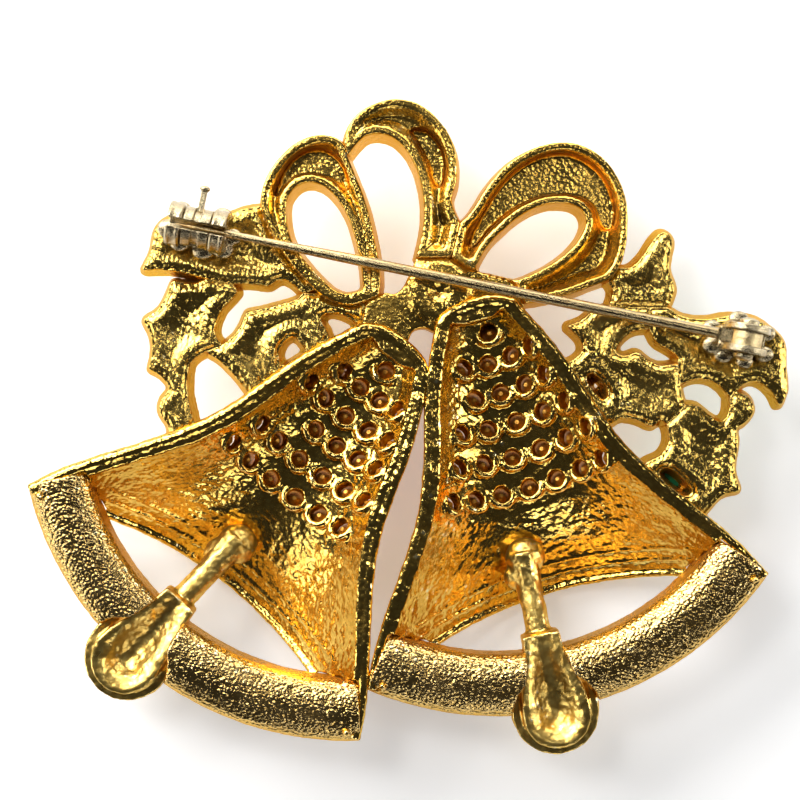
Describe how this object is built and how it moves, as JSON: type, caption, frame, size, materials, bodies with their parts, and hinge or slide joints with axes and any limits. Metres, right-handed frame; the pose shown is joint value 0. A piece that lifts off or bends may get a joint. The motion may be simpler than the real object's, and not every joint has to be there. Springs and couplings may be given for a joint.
{
  "type": "christmas bells brooch",
  "caption": "Cast metal brooch of a pair of half bells under a bow with holly, stone-set fronts and a hinged pin with a rollover safety catch.",
  "frame": {"origin": "centre of the bounding box in plan, on the surface that the brooch's front rests on", "axes": "+X across the brooch towards the right bell, +Y towards the bow, +Z out of the brooch's back"},
  "size_m": [0.0624, 0.0539, 0.012],
  "materials": {
    "cast_gold": "gold-plated casting with a fine pebbled back",
    "stones": "faceted red glass with an amber foil back",
    "enamel": "glossy green enamel",
    "findings": "polished pale gold plate",
    "pin_wire": "polished pale gold wire"
  },
  "bodies": {
    "brooch": {"left_bell_shell": "cast_gold", "left_bell_lip": "cast_gold", "left_clapper": "cast_gold", "left_bell_stones": "stones", "right_bell_shell": "cast_gold", "right_bell_lip": "cast_gold", "right_clapper": "cast_gold", "right_bell_stones": "stones", "bow_left_loop": "cast_gold", "bow_middle_loop": "cast_gold", "bow_right_loop": "cast_gold", "bow_knot": "cast_gold", "left_leaf_catch": "cast_gold", "left_leaf_outer": "cast_gold", "left_leaf_inner": "cast_gold", "right_leaf_top": "cast_gold", "right_leaf_inner": "cast_gold", "right_leaf_hinge": "cast_gold", "right_leaf_lower": "cast_gold", "left_holly_enamel": "enamel", "right_holly_enamel": "enamel", "catch_housing": "findings", "hinge_bracket": "findings", "hinge_rivet": "findings"},
    "pin": {"pin_stem": "pin_wire"},
    "catch_sleeve": {"catch_sleeve": "findings"}
  },
  "joints": [
    {"name": "pin_swing", "type": "hinge", "parent": "brooch", "child": "pin", "pos_m": [0.0274, 0.00725, 0.0102], "axis": [0.1987, 0.9801, 0], "range_deg": [0, 95]},
    {"name": "catch_turn", "type": "hinge", "parent": "brooch", "child": "catch_sleeve", "pos_m": [-0.017, 0.01625, 0.0102], "axis": [0.9801, -0.1987, 0], "range_deg": [0, 120]}
  ]
}
